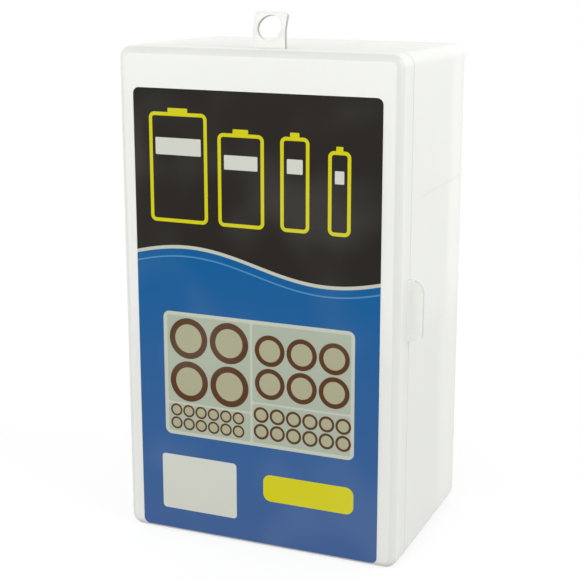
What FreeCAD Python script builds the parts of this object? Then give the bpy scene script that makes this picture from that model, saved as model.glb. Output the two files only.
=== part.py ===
"""Hinged battery storage case: a deep tub with six wells, a shallow lid on a living hinge and a front label.

Millimetres. The case stands on its short end: +Z up, the lid faces -Y, the hinge is at -X.
The origin is the centre of the footprint, at the bottom of the lid's end wall.
"""

import FreeCAD, Part
import math
import os

# ---- Case ----------------------------------------------------------------------------------------
case_width = 94.4
case_depth = 64.1
case_height = 160.0
corner_radius = 4.0
wall = 1.2
base_draft = 0.9
back_edge_radius = 1.15
seam_gap = 0.2
rim_edge_radius = 0.4

# ---- Lid -----------------------------------------------------------------------------------------
lid_depth = 9.2
lid_face = 1.2
lid_rim_radius = 2.7

# ---- Lip that stands from the tub's rim into the lid ----------------------------------------------
lip_height = 4.6
lip_thickness = 0.75
lip_clearance = 0.3
lip_root = 3.0
side_lip_length = 32.0
side_lip_spacing = 84.0
side_lip_offset = 3.5
end_lip_inset = 19.0
snap_ridge_height = 0.18
snap_ridge_width = 1.0
snap_ridge_inset = 6.0
snap_ridge_rise = 1.6

# ---- Living hinge --------------------------------------------------------------------------------
hinge_reach = 1.0
hinge_length = 136.0
film_thickness = 0.35
film_gap = 0.1
hinge_bead_radius = 0.45

# ---- Flanges on the lid's rim --------------------------------------------------------------------
flange_thickness = 1.4
hang_tab_width = 10.6
hang_tab_height = 10.85
hang_tab_offset = 1.3
hang_tab_corner_radius = 1.0
hang_tab_fold = 5.2
hang_tab_bend_radius = 1.5
hang_tab_lean = 24.0
peg_hole_radius = 3.9
peg_hole_rise = 5.9
thumb_tab_reach = 4.7
thumb_tab_length = 19.0
thumb_tab_offset = 2.6
thumb_tab_top_radius = 4.0
thumb_tab_bottom_radius = 2.4
thumb_tab_root_fillet = 1.4

# ---- Front label ---------------------------------------------------------------------------------
label_thickness = 0.15
label_width = 83.0
label_height = 145.9
label_left_margin = 5.4
label_bottom_margin = 1.5
label_corner_radius = 2.0

# ---- Wells ---------------------------------------------------------------------------------------
divider = 1.0
divider_top_depth = 9.0
well_floor = 1.0
end_clearance = 0.35
side_clearance = 0.15
d_cell_diameter = 34.2
d_cell_length = 61.5
c_cell_length = 50.0
aa_cell_diameter = 14.5
aa_cell_length = 50.5
aaa_cell_length = 44.5
d_cells_across = 2
aa_cells_across = 2
cross_divider_height = 71.8
aa_divider_height = 115.9

# ---- Places that follow from the sizes above ------------------------------------------------------
hinge_proud = hinge_reach + hinge_bead_radius
left_side = hinge_proud - (hinge_proud + case_width + thumb_tab_reach) / 2
right_side = left_side + case_width
front_side = label_thickness - (label_thickness + case_depth) / 2
back_side = front_side + case_depth
seam = front_side + lid_depth
lid_rim = seam - seam_gap / 2
tub_rim = seam + seam_gap / 2
lid_inner_face = front_side + lid_face
cell_tops = lid_inner_face + end_clearance
divider_tops = seam + divider_top_depth
hinge_axis_x = left_side - hinge_reach

# The tub's inner side faces slope with the draft, and the wells start where they are narrowest.
inner_left = left_side + wall + base_draft
inner_right = right_side - wall - base_draft
d_spine_left = inner_left + d_cells_across * d_cell_diameter + 2 * side_clearance
c_spine_left = inner_right - aa_cells_across * aa_cell_diameter - 2 * side_clearance - divider
cross_divider_bottom = cross_divider_height - divider / 2
cross_divider_top = cross_divider_bottom + divider
aa_divider_bottom = aa_divider_height - divider / 2
aaa_divider_bottom = (wall + base_draft + cross_divider_bottom - divider) / 2


def box(low, high):
    """A plain block between two corners."""
    size = [high[axis] - low[axis] for axis in range(3)]
    return Part.makeBox(size[0], size[1], size[2], FreeCAD.Vector(*low))


def rounded_outline(x_low, x_high, z_low, z_high, radius, y):
    """A closed wire: a rectangle with round corners, in the plane of one depth."""
    places = ((x_low, z_low), (x_high, z_low), (x_high, z_high), (x_low, z_high))
    corners = [FreeCAD.Vector(x, y, z) for x, z in places]
    sagitta = radius * (1 - math.sqrt(0.5))
    points = []
    for number, corner in enumerate(corners):
        before = (corners[number - 1] - corner).normalize()
        after = (corners[(number + 1) % len(corners)] - corner).normalize()
        points.append((corner + before * radius, corner + (before + after) * sagitta, corner + after * radius))
    edges = []
    for number, (start, middle, end) in enumerate(points):
        next_start = points[(number + 1) % len(points)][0]
        edges.append(Part.Arc(start, middle, end).toShape())
        edges.append(Part.LineSegment(end, next_start).toShape())
    return Part.Wire(edges)


def rounded_block(x_low, x_high, z_low, z_high, radius, y_low, y_high):
    """A block with round corners about the depth axis."""
    outline = rounded_outline(x_low, x_high, z_low, z_high, radius, y_low)
    return Part.Face(outline).extrude(FreeCAD.Vector(0, y_high - y_low, 0))


def edges_at_depth(shape, y):
    """The edges that lie wholly in the plane of one depth."""
    found = []
    for edge in shape.Edges:
        bounds = edge.BoundBox
        if abs(bounds.YMin - y) < 1e-4 and abs(bounds.YMax - y) < 1e-4:
            found.append(edge)
    return found


def edge_along_depth(shape, x, z):
    """The edge that runs along the depth axis at one width and height."""
    for edge in shape.Edges:
        bounds = edge.BoundBox
        if max(abs(bounds.XMin - x), abs(bounds.XMax - x), abs(bounds.ZMin - z), abs(bounds.ZMax - z)) < 1e-4:
            return edge
    raise ValueError("no edge along the depth at that place")


def drafted_block(inset, y_low, y_high):
    """The tub's outside, drawn in by an inset: a block that narrows with the draft towards the back."""
    wires = []
    for y in (y_low, y_high):
        taper = inset + base_draft * (y - tub_rim) / (back_side - tub_rim)
        wires.append(rounded_outline(left_side + taper, right_side - taper, taper, case_height - taper,
                                     corner_radius - inset, y))
    return Part.makeLoft(wires, True, True)


def tub_cavity(y_low, y_high):
    """The space inside the tub's walls, between two depths."""
    return drafted_block(wall, y_low, y_high)


def lid_outside(growth):
    """The lid's outside with its round rim, grown by an even thickness."""
    block = rounded_block(left_side - growth, right_side + growth, -growth, case_height + growth,
                          corner_radius + growth, front_side - growth, lid_rim)
    return block.makeFillet(lid_rim_radius + growth, edges_at_depth(block, front_side - growth))


def lid_body():
    """The lid's outside with the edge of its rim broken."""
    block = lid_outside(0)
    return block.makeFillet(rim_edge_radius, edges_at_depth(block, lid_rim))


def tub_body():
    """The tub's outside with a round back edge and the edge of its rim broken."""
    block = drafted_block(0, tub_rim, back_side)
    block = block.makeFillet(back_edge_radius, edges_at_depth(block, back_side))
    return block.makeFillet(rim_edge_radius, edges_at_depth(block, tub_rim))


def lid_shell():
    """The lid: a shallow tray, open towards the tub."""
    hollow = rounded_block(left_side + wall, right_side - wall, wall, case_height - wall,
                           corner_radius - wall, lid_inner_face, lid_rim)
    inner_radius = lid_rim_radius - wall
    hollow = hollow.makeFillet(inner_radius, edges_at_depth(hollow, lid_inner_face))
    return lid_body().cut(hollow)


def thumb_tab_span():
    """The heights between which the thumb tab stands."""
    low = (case_height - thumb_tab_length) / 2 + thumb_tab_offset
    return (low, low + thumb_tab_length)


def side_lip_spans():
    """The heights of the side's lip lengths: one below the thumb tab, one behind it and one above it."""
    middle = case_height / 2 + side_lip_offset
    spans = [thumb_tab_span()]
    for lip_middle in (middle - side_lip_spacing / 2, middle + side_lip_spacing / 2):
        spans.append((lip_middle - side_lip_length / 2, lip_middle + side_lip_length / 2))
    return spans


def lip_strips():
    """Lip lengths that stand from the rim, inside the lid's walls: three opposite the hinge, one at each end."""
    outer = wall + lip_clearance
    inner = outer + lip_thickness
    buried = wall / 2
    tip = seam - lip_height
    root = tub_rim + lip_root
    strips = []
    for low, high in side_lip_spans():
        strips.append(box((right_side - inner, tip, low), (right_side - outer, root, high)))
        strips.append(box((right_side - inner, tub_rim, low), (right_side - buried, root, high)))
    left = left_side + end_lip_inset
    right = right_side - end_lip_inset
    strips.append(box((left, tip, outer), (right, root, inner)))
    strips.append(box((left, tub_rim, buried), (right, root, inner)))
    strips.append(box((left, tip, case_height - inner), (right, root, case_height - outer)))
    strips.append(box((left, tub_rim, case_height - inner), (right, root, case_height - buried)))
    return strips


def snap_ridges():
    """Low ridges on the side lips, opposite the hinge, that the lid's wall grips when it is pushed shut."""
    face = right_side - wall - lip_clearance
    depth = seam - snap_ridge_rise
    half = snap_ridge_width / 2
    ridges = []
    for lip_low, lip_high in side_lip_spans():
        low = lip_low + snap_ridge_inset
        length = lip_high - lip_low - 2 * snap_ridge_inset
        start = FreeCAD.Vector(face, depth - half, low)
        crest = FreeCAD.Vector(face + snap_ridge_height, depth, low)
        end = FreeCAD.Vector(face, depth + half, low)
        heel = FreeCAD.Vector(face - lip_thickness / 2, depth, low)
        profile = Part.Wire([Part.Arc(start, crest, end).toShape(), Part.LineSegment(end, heel).toShape(),
                             Part.LineSegment(heel, start).toShape()])
        ridges.append(Part.Face(profile).extrude(FreeCAD.Vector(0, 0, length)))
    return ridges


def base_shell():
    """The tub's drafted wall, open at the back round the raised floors, with its lip and snap ridges."""
    ring = tub_body().cut(tub_cavity(tub_rim, back_side))
    return ring.fuse(lip_strips() + snap_ridges()).removeSplitter()


def cell_floor(cell_length):
    """The depth of the floor that a cell of one length stands on, with all cell tops level."""
    return cell_tops + cell_length


def within_tub(low, high):
    """A block cut to the tub's inner faces."""
    return box(low, high).common(tub_cavity(divider_tops, back_side))


def cross_divider():
    """The wall across the tub between the upper and lower wells: down to the back beside the D well."""
    aa_underside = cell_floor(aa_cell_length) + well_floor
    deep = within_tub((left_side, divider_tops, cross_divider_bottom),
                      (d_spine_left + divider, back_side, cross_divider_top))
    shallow = within_tub((d_spine_left + divider, divider_tops, cross_divider_bottom),
                         (right_side, aa_underside, cross_divider_top))
    return deep.fuse(shallow).removeSplitter()


def d_spine():
    """The wall between the D well and the AAA wells, down to the back."""
    return within_tub((d_spine_left, divider_tops, 0), (d_spine_left + divider, back_side, cross_divider_bottom))


def c_spine():
    """The wall between the C well and the AA wells, down to their floors' undersides."""
    underside = cell_floor(aa_cell_length) + well_floor
    return within_tub((c_spine_left, divider_tops, cross_divider_top),
                      (c_spine_left + divider, underside, case_height))


def aa_divider():
    """The wall between the two AA wells, standing on their floor."""
    return within_tub((c_spine_left + divider, divider_tops, aa_divider_bottom),
                      (right_side, cell_floor(aa_cell_length), aa_divider_bottom + divider))


def aaa_divider():
    """The wall between the two AAA wells, standing on their floor."""
    return within_tub((d_spine_left + divider, divider_tops, aaa_divider_bottom),
                      (right_side, cell_floor(aaa_cell_length), aaa_divider_bottom + divider))


def d_well_floor():
    """The D well's floor, flush with the back of the tub."""
    return within_tub((left_side, back_side - well_floor, 0), (d_spine_left, back_side, cross_divider_bottom))


def c_well_floor():
    """The raised floor of the C well."""
    top = cell_floor(c_cell_length)
    return within_tub((left_side, top, cross_divider_top), (c_spine_left, top + well_floor, case_height))


def aa_well_floor():
    """The raised floor under both AA wells."""
    top = cell_floor(aa_cell_length)
    return within_tub((c_spine_left + divider, top, cross_divider_top),
                      (right_side, top + well_floor, case_height))


def aaa_well_floor():
    """The raised floor under both AAA wells."""
    top = cell_floor(aaa_cell_length)
    return within_tub((d_spine_left + divider, top, 0), (right_side, top + well_floor, cross_divider_bottom))


def hinge_film_base():
    """The tub's half of the living hinge, with the bead of plastic along the fold line."""
    low = (case_height - hinge_length) / 2
    film = box((hinge_axis_x, seam + film_gap, low),
               (left_side + rim_edge_radius, seam + film_gap + film_thickness, low + hinge_length))
    bead = Part.makeCylinder(hinge_bead_radius, hinge_length, FreeCAD.Vector(hinge_axis_x, seam, low))
    return film.cut(tub_body()).fuse(bead).removeSplitter()


def hinge_film_lid():
    """The lid's half of the living hinge, which ends just short of the bead."""
    low = (case_height - hinge_length) / 2
    tip = hinge_axis_x + hinge_bead_radius + film_gap
    film = box((tip, seam - film_gap - film_thickness, low),
               (left_side + rim_edge_radius, seam - film_gap, low + hinge_length))
    return film.cut(lid_body())


def thumb_tab():
    """The flange that a thumb lifts to open the lid, with a fillet where it leaves the lid's wall."""
    low, high = thumb_tab_span()
    tip = right_side + thumb_tab_reach
    face = lid_rim - flange_thickness
    plate = box((right_side - rim_edge_radius, face, low), (tip, lid_rim, high))
    for z, radius in ((low, thumb_tab_bottom_radius), (high, thumb_tab_top_radius)):
        plate = plate.makeFillet(radius, [edge_along_depth(plate, tip, z)])
    fillet = thumb_tab_root_fillet
    foot = box((right_side, face - fillet, low), (right_side + fillet, face, high))
    hollow = Part.makeCylinder(fillet, thumb_tab_length, FreeCAD.Vector(right_side + fillet, face - fillet, low))
    return plate.cut(lid_body()).fuse(foot.cut(hollow)).removeSplitter()


def hang_tab():
    """The flange with the peg hole: upright at its root, then bent back, with round top corners."""
    middle = left_side + case_width / 2 + hang_tab_offset
    low = middle - hang_tab_width / 2
    fold = case_height + hang_tab_fold
    lean = math.radians(hang_tab_lean)
    pivot = FreeCAD.Vector(low, lid_rim + hang_tab_bend_radius, fold)
    front_radius = hang_tab_bend_radius + flange_thickness
    straight = (hang_tab_height - hang_tab_fold - front_radius * math.sin(lean)) / math.cos(lean)
    along = FreeCAD.Vector(0, math.sin(lean), math.cos(lean)) * straight
    faces = []
    for radius in (front_radius, hang_tab_bend_radius):
        turns = [FreeCAD.Vector(0, -math.cos(angle), math.sin(angle)) for angle in (0, lean / 2, lean)]
        faces.append([pivot + turn * radius for turn in turns])
    front, rear = faces
    root = FreeCAD.Vector(0, 0, case_height - rim_edge_radius - fold)
    profile = Part.Wire([
        Part.LineSegment(front[0] + root, front[0]).toShape(),
        Part.Arc(*front).toShape(),
        Part.LineSegment(front[2], front[2] + along).toShape(),
        Part.LineSegment(front[2] + along, rear[2] + along).toShape(),
        Part.LineSegment(rear[2] + along, rear[2]).toShape(),
        Part.Arc(*rear).toShape(),
        Part.LineSegment(rear[0], rear[0] + root).toShape(),
        Part.LineSegment(rear[0] + root, front[0] + root).toShape(),
    ])
    plate = Part.Face(profile).extrude(FreeCAD.Vector(hang_tab_width, 0, 0))
    top_corners = [edge for edge in plate.Edges
                   if edge.BoundBox.XLength < 1e-4 and edge.BoundBox.ZMin > (rear[2] + along).z - 1e-4]
    plate = plate.makeFillet(hang_tab_corner_radius, top_corners)
    # The hole's axis splits the bend evenly, so that a straight peg passes both parts of the tab.
    axis = FreeCAD.Vector(0, -math.cos(lean / 2), math.sin(lean / 2))
    centre = FreeCAD.Vector(middle, lid_rim, case_height + peg_hole_rise)
    hole = Part.makeCylinder(peg_hole_radius, 2 * hang_tab_height, centre - axis * hang_tab_height, axis)
    return plate.cut(hole).cut(lid_body()).removeSplitter()


def front_label():
    """The label, which follows the lid's face and wraps a little onto its lower round edge."""
    x_low = left_side + label_left_margin
    outline = rounded_block(x_low, x_low + label_width, label_bottom_margin, label_bottom_margin + label_height,
                            label_corner_radius, front_side - label_thickness, front_side + lid_rim_radius)
    return lid_outside(label_thickness).cut(lid_outside(0)).common(outline)


nodes = {
    "base_shell": base_shell,
    "cross_divider": cross_divider,
    "d_spine": d_spine,
    "c_spine": c_spine,
    "aa_divider": aa_divider,
    "aaa_divider": aaa_divider,
    "d_well_floor": d_well_floor,
    "c_well_floor": c_well_floor,
    "aa_well_floor": aa_well_floor,
    "aaa_well_floor": aaa_well_floor,
    "hinge_film_base": hinge_film_base,
    "hinge_film_lid": hinge_film_lid,
    "lid_shell": lid_shell,
    "thumb_tab": thumb_tab,
    "hang_tab": hang_tab,
    "front_label": front_label,
}

os.makedirs("parts", exist_ok=True)
for name, build in nodes.items():
    shape = build()
    if not shape.isValid() or shape.Volume <= 0:
        raise ValueError(name + " is not a valid solid")
    shape.exportStep("parts/" + name + ".step")
    print(name, len(shape.Solids), "solid(s)", round(shape.Volume, 1), "mm3")
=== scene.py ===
"""Looks of a hinged battery storage case.

A clear moulded tub and lid, joined by a living hinge, with a printed label on the front.
Metres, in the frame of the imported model: +Z up the case's long side, the lid and its label
face -Y, the hinge is at -X, the thumb tab at +X, and the hang tab stands up at +Z.
"""

import logging
import math
from dataclasses import dataclass, field, replace
from enum import Enum
from typing import Callable, NamedTuple, Self

import bpy
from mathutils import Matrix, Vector


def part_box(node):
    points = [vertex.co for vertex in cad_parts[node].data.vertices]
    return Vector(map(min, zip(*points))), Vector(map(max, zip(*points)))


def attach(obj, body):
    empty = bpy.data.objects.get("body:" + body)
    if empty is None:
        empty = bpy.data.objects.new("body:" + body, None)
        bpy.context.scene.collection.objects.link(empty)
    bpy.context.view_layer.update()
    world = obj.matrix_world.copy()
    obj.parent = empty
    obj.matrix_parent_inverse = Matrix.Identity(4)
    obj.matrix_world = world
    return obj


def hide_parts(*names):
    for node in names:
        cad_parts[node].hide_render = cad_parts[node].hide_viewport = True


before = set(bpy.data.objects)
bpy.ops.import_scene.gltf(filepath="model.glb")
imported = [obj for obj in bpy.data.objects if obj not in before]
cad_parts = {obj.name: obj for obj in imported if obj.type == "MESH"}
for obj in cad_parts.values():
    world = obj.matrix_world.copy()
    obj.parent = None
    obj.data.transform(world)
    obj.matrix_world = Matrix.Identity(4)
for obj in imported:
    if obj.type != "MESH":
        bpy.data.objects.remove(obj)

MM = 0.001
QUARTER_TURN = math.radians(90.0)
SHARP_EDGE = math.radians(40.0)
SMOOTH_EDGE = math.radians(35.0)
FACES_UP = 0.9
WHITE = (1.0, 1.0, 1.0)

Socket = bpy.types.NodeSocket
Material = bpy.types.Material
Piece = bpy.types.Object
Point = tuple[float, float, float]
Colour = tuple[float, float, float]
# where a soft step is 0 and where it is 1
Span = tuple[float, float]

log = logging.getLogger("battery_case")


class Body(Enum):
    """The two rigid bodies that pieces ride on."""

    TUB = "base"
    LID = "lid"


class Slot(Enum):
    """The record's material slots."""

    CLEAR = "clear_plastic"
    LABEL = "label"


# ---- Materials ----------------------------------------------------------------------------


class NodeGraph:
    """The node tree of a material or of the world, with a short method for each kind of step."""

    def __init__(self, owner: Material | bpy.types.World) -> None:
        """Starts with an empty tree.

        Args:
            owner: the material or the world that the tree belongs to.
        """
        owner.use_nodes = True
        self.owner = owner
        self.tree = owner.node_tree
        self.tree.nodes.clear()

    def add(
        self, kind: str, inputs: dict[str | int, object] | None = None, **settings: object
    ) -> bpy.types.Node:
        """Adds a node.

        Args:
            kind: the node's type name.
            inputs: a value, a colour or a socket for each named or numbered input.
            settings: the node's own properties.

        Returns:
            The new node.
        """
        node = self.tree.nodes.new(kind)
        for name, setting in settings.items():
            setattr(node, name, setting)
        for key, value in (inputs or {}).items():
            entry = node.inputs[key]
            if isinstance(value, Socket):
                self.tree.links.new(value, entry)
            elif entry.type == "RGBA":
                entry.default_value = (*value, 1.0)
            else:
                entry.default_value = value
        return node

    def math(self, operation: str, *values: object, clamp: bool = False) -> Socket:
        """One step of arithmetic.

        Args:
            operation: the Math node's operation.
            values: its inputs, numbers or sockets.
            clamp: keeps the result between 0 and 1.

        Returns:
            The result's socket.
        """
        inputs = dict(enumerate(values))
        node = self.add("ShaderNodeMath", inputs, operation=operation, use_clamp=clamp)
        return node.outputs[0]

    def vector(self, operation: str, *values: object) -> Socket:
        """One step of vector arithmetic.

        Args:
            operation: the Vector Math node's operation.
            values: its inputs, triples or sockets.

        Returns:
            The result's socket, a number for a length or a distance.
        """
        node = self.add("ShaderNodeVectorMath", dict(enumerate(values)), operation=operation)
        return node.outputs["Value" if operation in ("LENGTH", "DISTANCE") else "Vector"]

    def place(self) -> Socket:
        """The point on the piece, in the frame's metres."""
        return self.add("ShaderNodeTexCoord").outputs["Object"]

    def facing(self) -> Socket:
        """The surface's direction, fixed to the piece."""
        return self.add("ShaderNodeTexCoord").outputs["Normal"]

    def parts(self, triple: Socket) -> tuple[Socket, Socket, Socket]:
        """The three parts of a point or a direction."""
        across, depth, up = self.add("ShaderNodeSeparateXYZ", {0: triple}).outputs
        return across, depth, up

    def seen(self) -> Socket:
        """Tells the rays that the eye follows, also by gloss and through glass, from the light's.

        Returns:
            The socket, 1 for the eye's rays.
        """
        rays = self.add("ShaderNodeLightPath").outputs
        direct = self.math("MAXIMUM", rays["Is Camera Ray"], rays["Is Glossy Ray"])
        return self.math("MAXIMUM", direct, rays["Is Transmission Ray"])

    def noise(self, at: Socket, feature: float, detail: float = 2.0) -> Socket:
        """Soft random variation from 0 to 1.

        Args:
            at: where it is read.
            feature: the size of its blotches, in metres.
            detail: how many finer layers it has.

        Returns:
            The variation's socket.
        """
        inputs = {"Vector": at, "Scale": 1.0 / feature, "Detail": detail}
        return self.add("ShaderNodeTexNoise", inputs).outputs[0]

    def spread(self, value: Socket, low: float, high: float) -> Socket:
        """Stretches 0 to 1 over a range.

        Args:
            value: a socket between 0 and 1.
            low: what 0 becomes.
            high: what 1 becomes.

        Returns:
            The stretched value's socket.
        """
        return self.math("MULTIPLY_ADD", value, high - low, low)

    def step(self, value: Socket, span: Span) -> Socket:
        """A soft step.

        Args:
            value: what it follows.
            span: the value at which it is 0 and the one at which it is 1, in either order.

        Returns:
            The step's socket.
        """
        first, last = (0.0, 1.0) if span[0] < span[1] else (1.0, 0.0)
        inputs = {0: value, 1: min(span), 2: max(span), 3: first, 4: last}
        node = self.add("ShaderNodeMapRange", inputs, interpolation_type="SMOOTHSTEP")
        return node.outputs[0]

    def blend(self, share: object, first: object, second: object) -> Socket:
        """Mixes two colours.

        Args:
            share: how much of the second colour shows.
            first: a colour or a socket.
            second: a colour or a socket.

        Returns:
            The mixed colour's socket.
        """
        node = self.add("ShaderNodeMix", {0: share, 6: first, 7: second}, data_type="RGBA")
        return node.outputs[2]

    def layer(self, share: object, under: Socket, over: Socket) -> Socket:
        """Mixes two shaders.

        Args:
            share: how much of the upper shader shows.
            under: the lower shader.
            over: the upper shader.

        Returns:
            The mixed shader's socket.
        """
        return self.add("ShaderNodeMixShader", {0: share, 1: under, 2: over}).outputs[0]

    def relief(self, height: Socket, distance: float, under: Socket | None = None) -> Socket:
        """Turns a height from 0 to 1 into a bumpy surface direction.

        Args:
            height: the height's socket.
            distance: the depth of the relief, in metres.
            under: the direction of the coarser relief that it lies on.

        Returns:
            The direction's socket.
        """
        inputs = {"Height": height, "Distance": distance, "Strength": 1.0}
        if under is not None:
            inputs["Normal"] = under
        return self.add("ShaderNodeBump", inputs).outputs[0]

    def finish(self, shader: Socket) -> Material | bpy.types.World:
        """Ends the tree with its output.

        Args:
            shader: the finished shader.

        Returns:
            The material or the world.
        """
        kind = "World" if isinstance(self.owner, bpy.types.World) else "Material"
        self.add(f"ShaderNodeOutput{kind}", {"Surface": shader})
        return self.owner


@dataclass(frozen=True)
class WallJoin:
    """The line where an inner wall meets the walls round it, a faint shade seen through them."""

    thin_axis: int
    middle: float
    half_width: float
    run_middle: float
    run_half: float
    start: float
    reach_in: float = 0.3 * MM
    reach_out: float = 2.6 * MM
    softness: float = 0.35 * MM

    @classmethod
    def of(cls, node: str) -> Self:
        """Takes a join's place from the solid of the inner wall.

        Args:
            node: the inner wall's name.

        Returns:
            The join.
        """
        low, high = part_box(node)
        middle, half = (low + high) / 2, (high - low) / 2
        thin = 0 if half.x < half.z else 2
        run = 2 - thin
        return cls(thin, middle[thin], half[thin], middle[run], half[run], low.y)

    def mask(self, graph: NodeGraph, parts: tuple[Socket, Socket, Socket]) -> Socket:
        """Finds the points of the outer walls that lie in front of the join.

        Args:
            graph: the material's tree.
            parts: the three coordinates of the point.

        Returns:
            The mask's socket.
        """
        thin, run = parts[self.thin_axis], parts[2 - self.thin_axis]
        across = graph.math("ABSOLUTE", graph.math("SUBTRACT", thin, self.middle))
        along = graph.math("ABSOLUTE", graph.math("SUBTRACT", run, self.run_middle))
        soft_edge = (self.half_width + self.softness, self.half_width - self.softness)
        past_end = graph.math("GREATER_THAN", along, self.run_half - self.reach_in)
        near_end = graph.math("LESS_THAN", along, self.run_half + self.reach_out)
        ends = graph.math("MULTIPLY", past_end, near_end)
        line = graph.math("MULTIPLY", graph.step(across, soft_edge), ends)
        behind = graph.step(parts[1], (self.start, self.start + self.reach_out))
        return graph.math("MULTIPLY", line, behind)


@dataclass(frozen=True)
class MouldedPolypropylene:
    """Natural polypropylene: milky, half see-through, with a satin skin.

    The tints are painted shade: they say how much darker its colour is made at the round edges, the
    lower part, the seam at the rims, the flanges and their edges, and the joins of the inner walls.
    A span gives the value where such a place starts and the one where it is full.
    """

    colour: Colour = (0.945, 0.952, 0.915)
    cloudy_colour: Colour = (0.976, 0.983, 0.952)
    glow_colour: Colour = (0.983, 0.99, 0.962)
    glow_share: float = 0.17
    see_through: float = 0.19
    see_through_tint: Colour = (0.985, 0.99, 0.98)
    # Painted shade: the dark colour that the tints below mix in, and where each tint reaches.
    painted_shade_colour: Colour = (0.30, 0.31, 0.27)
    body_tint: float = 0.0
    bend_tint: float = 0.24
    top_bend_tint: float = 0.20
    bend_starts: Span = (0.004, 0.03)
    bend_ends: Span = (0.92, 0.46)
    foot_tint: float = 0.09
    foot_height: Span = (86 * MM, 62 * MM)
    rim_tint: float = 0.22
    rim_depth: float = -22.775 * MM
    rim_reach: Span = (0.6 * MM, 0.24 * MM)
    edge_tint: float = 0.0
    edge_turn: Span = (0.7, 0.35)
    edge_from: float = -60 * MM
    edge_softness: float = 0.5 * MM
    join_tint: float = 0.10
    join_turn: Span = (0.6, 0.3)
    joins: tuple[WallJoin, ...] = ()
    cloud_size: float = 28 * MM
    cloud_detail: float = 3.0
    streak_size: float = 9 * MM
    streak_stretch: float = 0.12
    streak_share: float = 0.4
    grain_size: float = 0.6 * MM
    grain_depth: float = 0.004 * MM
    ripple_size: float = 16 * MM
    ripple_depth: float = 0.05 * MM
    relief_detail: float = 1.0
    gloss_low: float = 0.26
    gloss_high: float = 0.40
    index: float = 1.49

    def make(self, name: str) -> Material:
        """Builds the material.

        Args:
            name: the material's name.

        Returns:
            The material.
        """
        graph = NodeGraph(bpy.data.materials.new(name))
        place = graph.place()
        stretch = {"Vector": place, "Scale": (1.0, 1.0, self.streak_stretch)}
        flow = graph.add("ShaderNodeMapping", stretch).outputs[0]
        cloud = graph.noise(place, self.cloud_size, self.cloud_detail)
        streak = graph.noise(flow, self.streak_size)
        clouds = graph.math("MULTIPLY", cloud, 1.0 - self.streak_share)
        cloudy = graph.math("MULTIPLY_ADD", streak, self.streak_share, clouds)
        colour = graph.blend(cloudy, self.colour, self.cloudy_colour)
        glow_colour, clarity = self.glow_colour, self.see_through
        # Painted shade darkens the colour and the glow and lessens the see-through at the places
        # found.
        tint = self.painted_shade_places(graph, place)
        if tint is not None:
            colour = graph.blend(tint, colour, self.painted_shade_colour)
            glow_colour = graph.blend(tint, self.glow_colour, self.painted_shade_colour)
            clarity = graph.spread(tint, self.see_through, 0.0)
        waves = graph.noise(place, self.ripple_size, self.relief_detail)
        grains = graph.noise(place, self.grain_size, self.relief_detail)
        ripple = graph.relief(waves, self.ripple_depth)
        skin = graph.add("ShaderNodeBsdfPrincipled", {
            "Base Color": colour,
            "Roughness": graph.spread(cloud, self.gloss_low, self.gloss_high),
            "IOR": self.index,
            "Normal": graph.relief(grains, self.grain_depth, ripple),
        })
        glow = graph.add("ShaderNodeBsdfTranslucent", {"Color": glow_colour})
        clear = graph.add("ShaderNodeBsdfTransparent", {"Color": self.see_through_tint})
        milky = graph.layer(self.glow_share, skin.outputs[0], glow.outputs[0])
        return graph.finish(graph.layer(clarity, milky, clear.outputs[0]))

    def painted_shade_places(self, graph: NodeGraph, place: Socket) -> Socket | None:
        """Finds where shade is painted into the plastic's colour.

        These are the round edges, more so where they face up, the lower part of the case, the seam
        where the two rims meet, whole flanges and their edges, and the lines where inner walls join
        on.

        Args:
            graph: the material's tree.
            place: the point on the piece.

        Returns:
            How much darker each place is, from 0, or None where it is the same all over.
        """
        across, depth, up = graph.parts(place)
        _, facing_depth, facing_up = graph.parts(graph.facing())
        facing = graph.math("ABSOLUTE", facing_depth)
        masks = []
        # Painted shade on the round edges, stronger where they face up.
        if self.bend_tint:
            turned = graph.math("SUBTRACT", 1.0, facing)
            starts, ends = graph.step(turned, self.bend_starts), graph.step(turned, self.bend_ends)
            upward = graph.math("MAXIMUM", facing_up, 0.0)
            strength = graph.math("MULTIPLY_ADD", upward, self.top_bend_tint, self.bend_tint)
            masks.append((graph.math("MULTIPLY", starts, ends), strength))
        # Painted shade: darker towards the bottom of the case.
        if self.foot_tint:
            masks.append((graph.step(up, self.foot_height), self.foot_tint))
        # Painted shade in the seam where the two rims meet.
        if self.rim_tint:
            from_rim = graph.math("ABSOLUTE", graph.math("SUBTRACT", depth, self.rim_depth))
            masks.append((graph.step(from_rim, self.rim_reach), self.rim_tint))
        # Painted shade along the flanges' edges.
        if self.edge_tint:
            beyond = graph.step(across, (self.edge_from, self.edge_from + self.edge_softness))
            edge = graph.math("MULTIPLY", graph.step(facing, self.edge_turn), beyond)
            masks.append((edge, self.edge_tint))
        # Painted shade along the lines where the inner walls join the outer walls.
        if self.joins:
            upright = graph.step(facing, self.join_turn)
            lines = [join.mask(graph, (across, depth, up)) for join in self.joins]
            masks += [(graph.math("MULTIPLY", line, upright), self.join_tint) for line in lines]
        tint = None
        for mask, share in masks:
            shown = graph.math("MULTIPLY", mask, share)
            tint = shown if tint is None else graph.math("MAXIMUM", tint, shown)
        # Painted shade over the whole piece as well, where body_tint is set.
        return graph.math("MAXIMUM", tint, self.body_tint) if self.body_tint else tint


@dataclass(frozen=True)
class CellOutline:
    """An upright cell drawn in outline, with its contact on top. Sizes in label millimetres."""

    centre: float
    width: float
    height: float


@dataclass(frozen=True)
class CellGrid:
    """Rows of round cells seen from above. Sizes in label millimetres."""

    left: float
    bottom: float
    columns: int
    rows: int
    diameter: float


@dataclass(frozen=True)
class Panel:
    """A rectangle with round corners. Sizes in label millimetres."""

    left: float
    bottom: float
    width: float
    height: float
    corner: float


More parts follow.
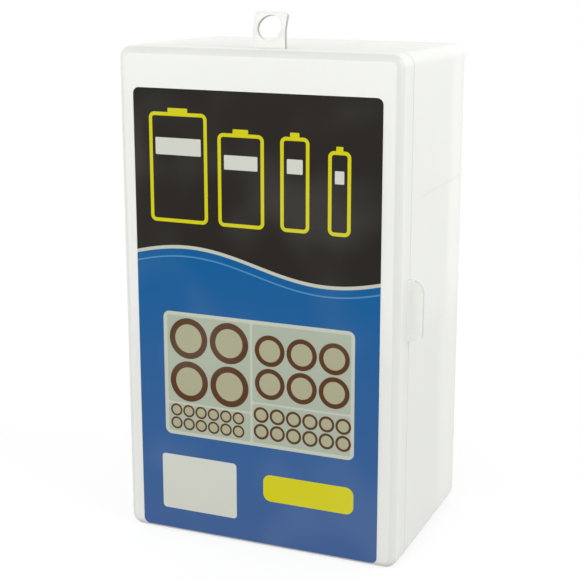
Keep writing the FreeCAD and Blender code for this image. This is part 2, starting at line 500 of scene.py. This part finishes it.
@dataclass(frozen=True)
class PrintedLabel:
    """A varnished label: cell outlines on a dark top, a wavy border, a plan of wells on blue.

    The sizes of the print are in label millimetres, and its relief, painted sheen and gloss noise
    are in metres.
    """

    left: float = -43.425
    bottom: float = 1.5
    dark: Colour = (0.0185, 0.0158, 0.0128)
    blue_high: Colour = (0.005, 0.095, 0.27)
    blue_low: Colour = (0.050, 0.106, 0.260)
    cream: Colour = (0.47, 0.48, 0.40)
    pale_blue: Colour = (0.072, 0.22, 0.41)
    yellow: Colour = (0.56, 0.52, 0.007)
    white: Colour = (0.56, 0.57, 0.51)
    tray: Colour = (0.36, 0.40, 0.32)
    tray_wall: Colour = (0.47, 0.50, 0.41)
    cell_rim: Colour = (0.086, 0.038, 0.016)
    cell_face: Colour = (0.36, 0.35, 0.23)
    paper: Colour = (0.88, 0.88, 0.86)
    paper_turn: float = 0.3
    # Painted sheen: pale patches of the paper colour laid over the print by a noise, which also
    # varies the gloss.
    sheen_and_gloss_size: float = 34 * MM
    sheen_and_gloss_detail: float = 1.5
    painted_sheen_span: Span = (0.47, 0.66)
    painted_sheen_share: float = 0.022
    crinkle_size: float = 22 * MM
    crinkle_depth: float = 0.12 * MM
    grain_size: float = 2.5 * MM
    grain_depth: float = 0.006 * MM
    gloss_low: float = 0.28
    gloss_high: float = 0.44
    shine: float = 0.06
    ink_softness: float = 0.12
    border_height: float = 92.0
    border_swing: float = 4.2
    border_length: float = 96.0
    border_start: float = -6.0
    border_width: float = 1.1
    inner_line_drop: float = 3.0
    inner_line_width: float = 0.5
    outline_foot: float = 104.5
    outline_stroke: float = 1.15
    outline_corner: float = 1.4
    contact_share: float = 0.36
    contact_height: float = 1.9
    band_inset: float = 1.6
    band_from: float = 0.62
    band_share: float = 0.16
    small_corner: float = 0.3
    rim_share: float = 0.47
    face_share: float = 0.33
    outlines: tuple[CellOutline, ...] = (
        CellOutline(15.5, 19.0, 33.5), CellOutline(37.0, 14.5, 28.0),
        CellOutline(55.0, 8.4, 28.0), CellOutline(69.5, 6.2, 24.6),
    )
    tray_outline: Panel = Panel(9.0, 33.2, 66.0, 41.6, 2.2)
    wells: tuple[Panel, ...] = (
        Panel(10.3, 44.4, 29.4, 29.2, 0.8), Panel(40.4, 48.0, 33.4, 25.6, 0.8),
        Panel(10.3, 34.4, 29.4, 9.4, 0.8), Panel(40.4, 34.4, 33.4, 13.0, 0.8),
    )
    grids: tuple[CellGrid, ...] = (
        CellGrid(10.7, 44.6, 2, 2, 14.4), CellGrid(41.0, 49.0, 3, 2, 10.9),
        CellGrid(10.9, 35.0, 6, 2, 4.45), CellGrid(40.6, 35.5, 6, 2, 5.6),
    )
    bar: Panel = Panel(44.0, 15.0, 31.0, 9.0, 2.6)
    note: Panel = Panel(7.5, 7.0, 27.0, 19.0, 1.2)

    def make(self, name: str) -> Material:
        """Builds the material.

        Args:
            name: the material's name.

        Returns:
            The material.
        """
        graph = NodeGraph(bpy.data.materials.new(name))
        colour = LabelPrint(graph, self).artwork()
        place = graph.place()
        # Painted sheen: the paper colour blended in where the noise is high; the same noise sets
        # the roughness.
        sheen_and_gloss = graph.noise(place, self.sheen_and_gloss_size, self.sheen_and_gloss_detail)
        painted_sheen = graph.spread(graph.step(sheen_and_gloss, self.painted_sheen_span), 0.0, self.painted_sheen_share)
        colour = graph.blend(painted_sheen, colour, self.paper)
        _, facing_depth, _ = graph.parts(graph.facing())
        outward = graph.math("MULTIPLY", facing_depth, -1.0)
        cut_edge = graph.math("LESS_THAN", outward, self.paper_turn)
        colour = graph.blend(cut_edge, colour, self.paper)
        crinkle = graph.relief(graph.noise(place, self.crinkle_size), self.crinkle_depth)
        grain = graph.noise(place, self.grain_size)
        sheet = graph.add("ShaderNodeBsdfPrincipled", {
            "Base Color": colour,
            "Roughness": graph.spread(sheen_and_gloss, self.gloss_low, self.gloss_high),
            "Specular IOR Level": self.shine,
            "Normal": graph.relief(grain, self.grain_depth, crinkle),
        })
        return graph.finish(sheet.outputs[0])


class LabelPrint:
    """Draws the label's artwork from outlines, in millimetres from its lower left corner."""

    def __init__(self, graph: NodeGraph, design: PrintedLabel) -> None:
        """Starts the drawing.

        Args:
            graph: the material's tree.
            design: the label's sizes and colours.
        """
        self.graph = graph
        self.design = design
        self.point = graph.add("ShaderNodeMapping", {
            "Vector": graph.place(),
            "Location": (-design.left, 0.0, -design.bottom),
            "Scale": (1 / MM, 0.0, 1 / MM),
        }).outputs[0]
        self.across, _, self.up = graph.parts(self.point)

    def panel(self, shape: Panel) -> Socket:
        """The distance to a rectangle with round corners.

        Args:
            shape: its place and sizes.

        Returns:
            The distance's socket, below zero inside.
        """
        graph = self.graph
        half_width, half_height = shape.width / 2, shape.height / 2
        centre = (shape.left + half_width, 0.0, shape.bottom + half_height)
        reach = (half_width - shape.corner, 0.0, half_height - shape.corner)
        offset = graph.vector("ABSOLUTE", graph.vector("SUBTRACT", self.point, centre))
        over = graph.vector("SUBTRACT", offset, reach)
        outer = graph.vector("LENGTH", graph.vector("MAXIMUM", over, (0.0, 0.0, 0.0)))
        return graph.math("SUBTRACT", outer, shape.corner)

    def stroke(self, distance: Socket, width: float) -> Socket:
        """The distance to a line of the given width that runs along an outline."""
        return self.graph.math("SUBTRACT", self.graph.math("ABSOLUTE", distance), width / 2)

    def discs(self, grid: CellGrid) -> Socket:
        """The distance to the centre of the nearest cell of a grid.

        Args:
            grid: the grid's place and sizes.

        Returns:
            The distance's socket.
        """
        graph = self.graph
        size = grid.diameter
        last = (grid.columns - 1.0, 0.0, grid.rows - 1.0)
        shifted = graph.vector("SUBTRACT", self.point, (grid.left, 0.0, grid.bottom))
        number = graph.vector("FLOOR", graph.vector("DIVIDE", shifted, (size, 1.0, size)))
        number = graph.vector("MAXIMUM", number, (0.0, 0.0, 0.0))
        number = graph.vector("MINIMUM", number, last)
        half = (size / 2, 0.0, size / 2)
        middle = graph.vector("MULTIPLY_ADD", number, (size, 0.0, size), half)
        return graph.vector("DISTANCE", shifted, middle)

    def union(self, shapes: list[Socket]) -> Socket:
        """The distance to the nearest of several outlines.

        Args:
            shapes: the distance to each outline.

        Returns:
            The least distance's socket.
        """
        nearest = shapes[0]
        for shape in shapes[1:]:
            nearest = self.graph.math("MINIMUM", nearest, shape)
        return nearest

    def paint(self, under: Socket, distance: Socket, ink: Colour) -> Socket:
        """Prints an ink inside an outline.

        Args:
            under: the design so far.
            distance: the distance to the outline, below zero inside.
            ink: the ink's colour.

        Returns:
            The design with the ink.
        """
        rise = -1.0 / self.design.ink_softness
        inside = self.graph.math("MULTIPLY_ADD", distance, rise, 0.5, clamp=True)
        return self.graph.blend(inside, under, ink)

    def border(self) -> Socket:
        """The height above the wavy border between the dark and the blue.

        Returns:
            The height's socket, below zero on the blue.
        """
        graph, design = self.graph, self.design
        rate = 2 * math.pi / design.border_length
        turn = graph.math("MULTIPLY_ADD", self.across, rate, -rate * design.border_start)
        swing = graph.math("SINE", turn)
        wave = graph.math("MULTIPLY_ADD", swing, design.border_swing, design.border_height)
        return graph.math("SUBTRACT", self.up, wave)

    def artwork(self) -> Socket:
        """Draws the whole design.

        Returns:
            The colour's socket.
        """
        graph, design = self.graph, self.design
        fade = graph.math("DIVIDE", self.up, design.border_height, clamp=True)
        colour = graph.blend(fade, design.blue_low, design.blue_high)
        above = self.border()
        lowered = graph.math("ADD", above, design.inner_line_drop)
        colour = self.paint(colour, self.stroke(lowered, design.inner_line_width), design.pale_blue)
        colour = self.paint(colour, graph.math("MULTIPLY", above, -1.0), design.dark)
        colour = self.paint(colour, self.stroke(above, design.border_width), design.cream)
        colour = self.draw_outlines(colour)
        colour = self.draw_tray(colour)
        colour = self.paint(colour, self.panel(design.bar), design.yellow)
        return self.paint(colour, self.panel(design.note), design.white)

    def draw_outlines(self, colour: Socket) -> Socket:
        """Adds the row of standing cells to the dark field.

        Args:
            colour: the design so far.

        Returns:
            The design with the cells.
        """
        design = self.design
        foot, corner = design.outline_foot, design.small_corner
        lines, bands = [], []
        for cell in design.outlines:
            left = cell.centre - cell.width / 2
            body = Panel(left, foot, cell.width, cell.height, design.outline_corner)
            wide = cell.width * design.contact_share
            contact = Panel(cell.centre - wide / 2, foot + cell.height, wide,
                            design.contact_height, corner)
            band = Panel(left + design.band_inset, foot + cell.height * design.band_from,
                         cell.width - 2 * design.band_inset, cell.height * design.band_share,
                         corner)
            lines += [self.stroke(self.panel(body), design.outline_stroke), self.panel(contact)]
            bands.append(self.panel(band))
        colour = self.paint(colour, self.union(lines), design.yellow)
        return self.paint(colour, self.union(bands), design.white)

    def draw_tray(self, colour: Socket) -> Socket:
        """Adds the plan of the open case with its cells to the blue field.

        Args:
            colour: the design so far.

        Returns:
            The design with the plan.
        """
        graph, design = self.graph, self.design
        wells = self.union([self.panel(well) for well in design.wells])
        rims, faces = [], []
        for grid in design.grids:
            reach = self.discs(grid)
            rims.append(graph.math("SUBTRACT", reach, grid.diameter * design.rim_share))
            faces.append(graph.math("SUBTRACT", reach, grid.diameter * design.face_share))
        colour = self.paint(colour, self.panel(design.tray_outline), design.tray_wall)
        colour = self.paint(colour, wells, design.tray)
        colour = self.paint(colour, self.union(rims), design.cell_rim)
        return self.paint(colour, self.union(faces), design.cell_face)


@dataclass(frozen=True)
class StudioPaper:
    """White paper that stays white to the eye and keeps the object's soft shadow."""

    colour: Colour = (0.92, 0.92, 0.92)
    bounce_colour: Colour = (0.43, 0.43, 0.43)
    own_white: float = 0.80
    whitening: Span = (0.25, 0.8)

    def make(self, name: str) -> Material:
        """Builds the material.

        Args:
            name: the material's name.

        Returns:
            The material.
        """
        graph = NodeGraph(bpy.data.materials.new(name))
        seen = graph.seen()
        away = graph.vector("LENGTH", graph.place())
        whiter = graph.spread(graph.step(away, self.whitening), self.own_white, 1.0)
        share = graph.math("MULTIPLY", seen, whiter)
        colour = graph.blend(seen, self.bounce_colour, self.colour)
        paper = graph.add("ShaderNodeBsdfDiffuse", {"Color": colour})
        white = graph.add("ShaderNodeEmission", {"Strength": 1.0})
        return graph.finish(graph.layer(share, paper.outputs[0], white.outputs[0]))


# ---- Modelling ----------------------------------------------------------------------------


class Workbench:
    """Hand tools that act on one new piece at a time."""

    @staticmethod
    def clear() -> None:
        """Leaves edit mode and deselects every object."""
        if bpy.context.object is not None and bpy.context.object.mode != "OBJECT":
            bpy.ops.object.mode_set(mode="OBJECT")
        bpy.ops.object.select_all(action="DESELECT")

    @staticmethod
    def pick_faces(piece: Piece, wanted: Callable[[bpy.types.MeshPolygon], bool]) -> None:
        """Goes into edit mode with only the wanted faces selected.

        Args:
            piece: the piece in hand.
            wanted: says whether a face is to be selected.
        """
        Workbench.pick_nothing("FACE")
        for face in piece.data.polygons:
            face.select = wanted(face)
        bpy.ops.object.mode_set(mode="EDIT")

    @staticmethod
    def pick_edges(piece: Piece, wanted: Callable[[Vector], bool]) -> None:
        """Goes into edit mode with only the wanted edges selected.

        Args:
            piece: the piece in hand.
            wanted: says whether an edge is to be selected, from its run between its ends.
        """
        Workbench.pick_nothing("EDGE")
        corners = piece.data.vertices
        for edge in piece.data.edges:
            first, second = edge.vertices
            edge.select = wanted(corners[second].co - corners[first].co)
        bpy.ops.object.mode_set(mode="EDIT")

    @staticmethod
    def pick_nothing(kind: str) -> None:
        """Deselects the mesh of the piece in hand.

        Args:
            kind: what is picked next, FACE or EDGE.
        """
        bpy.ops.object.mode_set(mode="EDIT")
        bpy.ops.mesh.select_mode(type=kind)
        bpy.ops.mesh.select_all(action="DESELECT")
        bpy.ops.object.mode_set(mode="OBJECT")

    @staticmethod
    def settle() -> None:
        """Puts the place and turn of the piece in hand into its mesh."""
        bpy.ops.object.mode_set(mode="OBJECT")
        bpy.ops.object.transform_apply(location=True, rotation=True, scale=True)

    @staticmethod
    def copy(pattern: Piece, name: str, place: Point, turn: Point) -> Piece:
        """Copies a piece with a mesh of its own.

        Args:
            pattern: the piece to copy.
            name: the copy's name.
            place: where the pattern's origin goes.
            turn: how the pattern is turned.

        Returns:
            The copy, with its place in its mesh.
        """
        Workbench.clear()
        piece = pattern.copy()
        piece.data = pattern.data.copy()
        piece.name = name
        bpy.context.scene.collection.objects.link(piece)
        piece.location = place
        piece.rotation_euler = turn
        piece.select_set(True)
        bpy.context.view_layer.objects.active = piece
        Workbench.settle()
        return piece

    @staticmethod
    def discard(pattern: Piece) -> None:
        """Takes away a pattern once its copies are made.

        Args:
            pattern: the piece to take away.
        """
        mesh = pattern.data
        bpy.data.objects.remove(pattern)
        bpy.data.meshes.remove(mesh)

    @staticmethod
    def round_edges(piece: Piece, radius: float, segments: int = 2) -> None:
        """Rounds the piece's sharp edges.

        Args:
            piece: the piece in hand.
            radius: the rounding's size.
            segments: its steps.
        """
        bevel = piece.modifiers.new("round_edges", "BEVEL")
        bevel.width = radius
        bevel.segments = segments
        bevel.limit_method = "ANGLE"
        bevel.angle_limit = SHARP_EDGE
        bpy.context.view_layer.objects.active = piece
        bpy.ops.object.modifier_apply(modifier=bevel.name)
        bpy.ops.object.shade_smooth_by_angle(angle=SMOOTH_EDGE)


def dress(node: str, material: Material) -> None:
    """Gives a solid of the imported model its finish.

    Args:
        node: the solid's name.
        material: its finish.
    """
    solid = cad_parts[node]
    if not solid.material_slots:
        solid.data.materials.append(material)
    for slot in solid.material_slots:
        slot.material = material
    log.info("dressed %s with %s", node, material.name)


def enrol(piece: Piece, body: Body, material: Material) -> None:
    """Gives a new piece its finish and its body.

    Args:
        piece: the new piece.
        body: the body that it moves with.
        material: its finish.
    """
    piece.data.materials.clear()
    piece.data.materials.append(material)
    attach(piece, body.value)
    log.info("made %s on %s, %d faces", piece.name, body.value, len(piece.data.polygons))


# ---- Sub-assemblies -----------------------------------------------------------------------


class MarkPlace(NamedTuple):
    """Where one copy of a mark goes: its name, its middle, and whether it faces +Y or -Y."""

    name: str
    middle: Point
    faces_back: bool


@dataclass
class MouldMark:
    """A low round mark that the mould leaves on a face."""

    radius: float
    proud: float
    edge_radius: float
    buried: float = 0.2 * MM
    steps: int = 40

    def blank(self, name: str) -> Piece:
        """Models a plain disc at the origin, facing +Z, and picks its upper face.

        Args:
            name: the piece's name.

        Returns:
            The disc, in edit mode.
        """
        Workbench.clear()
        depth = self.proud + self.buried
        centre = (0.0, 0.0, self.proud - depth / 2)
        bpy.ops.mesh.primitive_cylinder_add(
            vertices=self.steps, radius=self.radius, depth=depth, location=centre)
        piece = bpy.context.object
        piece.name = name
        Workbench.settle()
        Workbench.pick_faces(piece, lambda face: face.normal.z > FACES_UP)
        return piece


@dataclass
class EjectorMark(MouldMark):
    """The round witness that an ejector pin leaves on an inner face."""

    radius: float = 2.4 * MM
    proud: float = 0.12 * MM
    edge_radius: float = 0.04 * MM
    rim: float = 0.35 * MM
    dish: float = 0.07 * MM

    def build(self) -> Piece:
        """Models one mark at the origin, facing +Z.

        Returns:
            The pattern that every mark is copied from.
        """
        pattern = self.blank("pin_mark_pattern")
        bpy.ops.mesh.inset(thickness=self.rim)
        bpy.ops.transform.translate(value=(0.0, 0.0, -self.dish))
        bpy.ops.object.mode_set(mode="OBJECT")
        Workbench.round_edges(pattern, self.edge_radius)
        return pattern

    def set_out(self, places: list[MarkPlace], body: Body, plastic: Material) -> None:
        """Puts a copy of the mark at each place.

        Args:
            places: where the copies go.
            body: the body that the copies move with.
            plastic: their finish.
        """
        pattern = self.build()
        for place in places:
            turn = -QUARTER_TURN if place.faces_back else QUARTER_TURN
            piece = Workbench.copy(pattern, place.name, place.middle, (turn, 0.0, 0.0))
            enrol(piece, body, plastic)
        Workbench.discard(pattern)


@dataclass
class GateMark(MouldMark):
    """The witness of the point where the plastic entered: a disc with the runner's stub."""

    radius: float = 2.6 * MM
    proud: float = 0.25 * MM
    edge_radius: float = 0.06 * MM
    stub_radius: float = 0.75 * MM
    stub_height: float = 0.35 * MM
    stub_taper: float = 0.8

    def build(self, name: str, place: Point) -> Piece:
        """Models the mark on a face that looks towards +Y.

        Args:
            name: the piece's name.
            place: the middle of the mark on that face.

        Returns:
            The new piece.
        """
        piece = self.blank(name)
        rise = {"value": (0.0, 0.0, self.stub_height)}
        bpy.ops.mesh.inset(thickness=self.radius - self.stub_radius)
        bpy.ops.mesh.extrude_region_move(TRANSFORM_OT_translate=rise)
        bpy.ops.transform.resize(value=(self.stub_taper, self.stub_taper, 1.0))
        bpy.ops.object.mode_set(mode="OBJECT")
        piece.rotation_euler = (-QUARTER_TURN, 0.0, 0.0)
        piece.location = place
        Workbench.settle()
        Workbench.round_edges(piece, self.edge_radius)
        return piece


@dataclass
class Tub:
    """The deep tub: its drafted wall, dividers and stepped well floors."""

    shell: str = "base_shell"
    dividers: tuple[str, ...] = ("cross_divider", "d_spine", "c_spine", "aa_divider", "aaa_divider")
    floors: tuple[str, ...] = ("d_well_floor", "c_well_floor", "aa_well_floor", "aaa_well_floor")
    mark: EjectorMark = field(default_factory=EjectorMark)
    mark_spacing: float = 0.5
    gate: GateMark = field(default_factory=GateMark)
    gated_floor: str = "c_well_floor"

    def build(self, plastic: Material, relief: Material) -> None:
        """Dresses the tub's solids and adds the marks on its floors.

        Args:
            plastic: the moulding's finish.
            relief: the finish of its small raised marks.
        """
        for node in (self.shell, *self.dividers, *self.floors):
            dress(node, plastic)
        low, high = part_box(self.gated_floor)
        middle = (low + high) / 2
        gate = self.gate.build("runner_gate_mark", (middle.x, high.y, middle.z))
        enrol(gate, Body.TUB, relief)
        places = [place for node in self.floors for place in self.floor_marks(node)]
        self.mark.set_out(places, Body.TUB, relief)

    def floor_marks(self, node: str) -> list[MarkPlace]:
        """Spaces two ejector marks along one well floor.

        Args:
            node: the floor's name.

        Returns:
            The marks' places.
        """
        low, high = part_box(node)
        middle = (low + high) / 2
        long_axis = 0 if high.x - low.x > high.z - low.z else 2
        reach = self.mark_spacing * (high[long_axis] - low[long_axis]) / 2
        marks = []
        for number, way in enumerate((-1.0, 1.0), start=1):
            place = middle.copy()
            place.y = low.y
            place[long_axis] += way * reach
            marks.append(MarkPlace(f"{node}_pin_mark_{number}", tuple(place), False))
        return marks


@dataclass
class Lid:
    """The shallow lid with its thumb tab and hang tab."""

    shell: str = "lid_shell"
    face: float = 1.2 * MM
    thumb_tab_web: float = 1.9 * MM
    mark: EjectorMark = field(default_factory=EjectorMark)
    mark_spacing: float = 0.62

    def build(self, plastic: Material, flanges: dict[str, Material]) -> None:
        """Dresses the lid's solids and adds the marks on its inner face.

        Args:
            plastic: the moulding's finish.
            flanges: the finish of each flat tab.
        """
        dress(self.shell, plastic)
        for node, flange in flanges.items():
            dress(node, flange)
        low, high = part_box(self.shell)
        middle = (low + high) / 2
        reach = self.mark_spacing * (high - low) / 2
        places = []
        for across in (-1.0, 1.0):
            for up in (-1.0, 1.0):
                place = (middle.x + across * reach.x, low.y + self.face, middle.z + up * reach.z)
                places.append(MarkPlace(f"lid_pin_mark_{len(places) + 1}", place, True))
        self.mark.set_out(places, Body.LID, plastic)


@dataclass
class LivingHinge:
    """The two leaves of the thin film that joins lid and tub."""

    solids: tuple[str, ...] = ("hinge_film_base", "hinge_film_lid")

    def build(self, film: Material) -> None:
        """Dresses the film.

        Args:
            film: the thin plastic's finish.
        """
        for node in self.solids:
            dress(node, film)


@dataclass
class FrontLabel:
    """The printed label: a thin sheet with round corners, pressed into the lid's skin."""

    solid: str = "front_label"
    corner_radius: float = 2.0 * MM
    corner_steps: int = 8
    pressed_in: float = 0.05 * MM
    edge_radius: float = 0.04 * MM
    edge_steps: int = 1

    def build(self, sheet: Material) -> None:
        """Models the label in place of its plain solid.

        Args:
            sheet: the printed sheet's finish.
        """
        low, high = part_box(self.solid)
        high.y += self.pressed_in
        Workbench.clear()
        bpy.ops.mesh.primitive_cube_add(size=1.0, location=(low + high) / 2, scale=high - low)
        label = bpy.context.object
        label.name = "printed_front_label"
        Workbench.settle()
        Workbench.pick_edges(label, lambda run: abs(run.y) > max(abs(run.x), abs(run.z)))
        bpy.ops.mesh.bevel(
            offset=self.corner_radius, segments=self.corner_steps, affect="EDGES")
        bpy.ops.object.mode_set(mode="OBJECT")
        Workbench.round_edges(label, self.edge_radius, self.edge_steps)
        enrol(label, Body.LID, sheet)
        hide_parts(self.solid)


# ---- Studio -------------------------------------------------------------------------------


@dataclass
class SoftLamp:
    """A large square lamp that points at the case."""

    name: str
    place: Point
    size: float
    power: float

    def hang(self, target: Vector) -> None:
        """Adds the lamp.

        Args:
            target: the point that it faces.
        """
        light = bpy.data.lights.new(self.name, "AREA")
        light.shape = "SQUARE"
        light.size = self.size
        light.energy = self.power
        lamp = bpy.data.objects.new(self.name, light)
        lamp.location = self.place
        lamp.rotation_euler = (target - lamp.location).to_track_quat("-Z", "Y").to_euler()
        bpy.context.scene.collection.objects.link(lamp)


@dataclass
class Studio:
    """Pale floor, soft light and the camera."""

    floor_size: float = 6.0
    world_strength: float = 0.87
    lit_point: Point = (0.0, 0.0, 0.08)
    lamps: tuple[SoftLamp, ...] = (
        SoftLamp("overhead_lamp", (0.1, -0.1, 1.5), size=1.1, power=0.8),
        SoftLamp("front_lamp", (-0.3, -1.4, 0.6), size=1.2, power=6.6),
        SoftLamp("side_lamp", (1.4, -0.3, 0.7), size=1.0, power=11.9),
        SoftLamp("hinge_side_lamp", (-1.3, -0.6, 0.4), size=1.0, power=6.0),
    )
    camera_place: Point = (0.177451, -0.417464, 0.192337)
    camera_turn: Point = (QUARTER_TURN - 0.244909, 0.0005, 0.409806)
    camera_lens: float = 87.39
    camera_sensor: float = 36.0
    camera_near: float = 0.01

    def build(self) -> None:
        """Sets up everything round the object."""
        self.lay_floor()
        self.light_world()
        for lamp in self.lamps:
            lamp.hang(Vector(self.lit_point))
        self.stand_camera()
        bpy.context.scene.view_settings.view_transform = "Standard"

    def lay_floor(self) -> None:
        """Lays the paper that the case stands on."""
        Workbench.clear()
        bpy.ops.mesh.primitive_plane_add(size=self.floor_size, location=(0.0, 0.0, 0.0))
        floor = bpy.context.object
        floor.name = "floor"
        floor.data.materials.append(StudioPaper().make("studio_paper"))

    def light_world(self) -> None:
        """Makes a world that is white to the eye and lights softly."""
        graph = NodeGraph(bpy.data.worlds.new("studio"))
        soft = {"Color": WHITE, "Strength": self.world_strength}
        light = graph.add("ShaderNodeBackground", soft).outputs[0]
        white = graph.add("ShaderNodeBackground", {"Color": WHITE, "Strength": 1.0}).outputs[0]
        bpy.context.scene.world = graph.finish(graph.layer(graph.seen(), light, white))

    def stand_camera(self) -> None:
        """Stands the camera in front, to the right of and above the case."""
        camera = bpy.data.cameras.new("camera")
        camera.lens = self.camera_lens
        camera.sensor_width = self.camera_sensor
        camera.clip_start = self.camera_near
        holder = bpy.data.objects.new("camera", camera)
        holder.location = self.camera_place
        holder.rotation_euler = self.camera_turn
        bpy.context.scene.collection.objects.link(holder)
        bpy.context.scene.camera = holder


@dataclass(frozen=True)
class Finishes:
    """The finishes of the plastic, by what they cover."""

    moulding: Material
    flanges: dict[str, Material]
    film: Material
    relief: Material

    @classmethod
    def make(cls, dividers: tuple[str, ...], thumb_tab_web: float) -> Self:
        """Makes the finishes.

        Args:
            dividers: the inner walls whose joins are painted as shade on the moulding.
            thumb_tab_web: how far from its root the thumb tab's edge is kept free of painted shade.

        Returns:
            The finishes.
        """
        joins = tuple(WallJoin.of(node) for node in dividers)
        # Without the painted shade on round edges, seam and lower part.
        even = MouldedPolypropylene(bend_tint=0.0, rim_tint=0.0, foot_tint=0.0)
        thumb_tab_root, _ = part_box("thumb_tab")
        edge_from = thumb_tab_root.x + thumb_tab_web
        # Painted shade: the tabs are made darker all over and along their edges.
        thumb_tab = replace(even, body_tint=0.06, edge_tint=0.5, edge_from=edge_from)
        hang_tab = replace(even, body_tint=0.12, edge_tint=0.8)
        film = replace(even, see_through=0.42)
        relief = replace(even, see_through=0.0, glow_share=0.10)
        return cls(
            moulding=MouldedPolypropylene(joins=joins).make("moulded_polypropylene"),
            flanges={"thumb_tab": thumb_tab.make("thumb_tab_polypropylene"),
                     "hang_tab": hang_tab.make("hang_tab_polypropylene")},
            film=film.make("hinge_film_polypropylene"),
            relief=relief.make("raised_mark_polypropylene"),
        )


def main() -> None:
    """Builds and dresses the whole case."""
    logging.basicConfig(level=logging.INFO, format="%(name)s: %(message)s")
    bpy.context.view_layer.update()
    tub, lid = Tub(), Lid()
    finishes = Finishes.make(tub.dividers, lid.thumb_tab_web)
    tub.build(finishes.moulding, finishes.relief)
    lid.build(finishes.moulding, finishes.flanges)
    LivingHinge().build(finishes.film)
    FrontLabel().build(PrintedLabel().make("printed_label"))
    Studio().build()


if __name__ == "__main__":
    main()
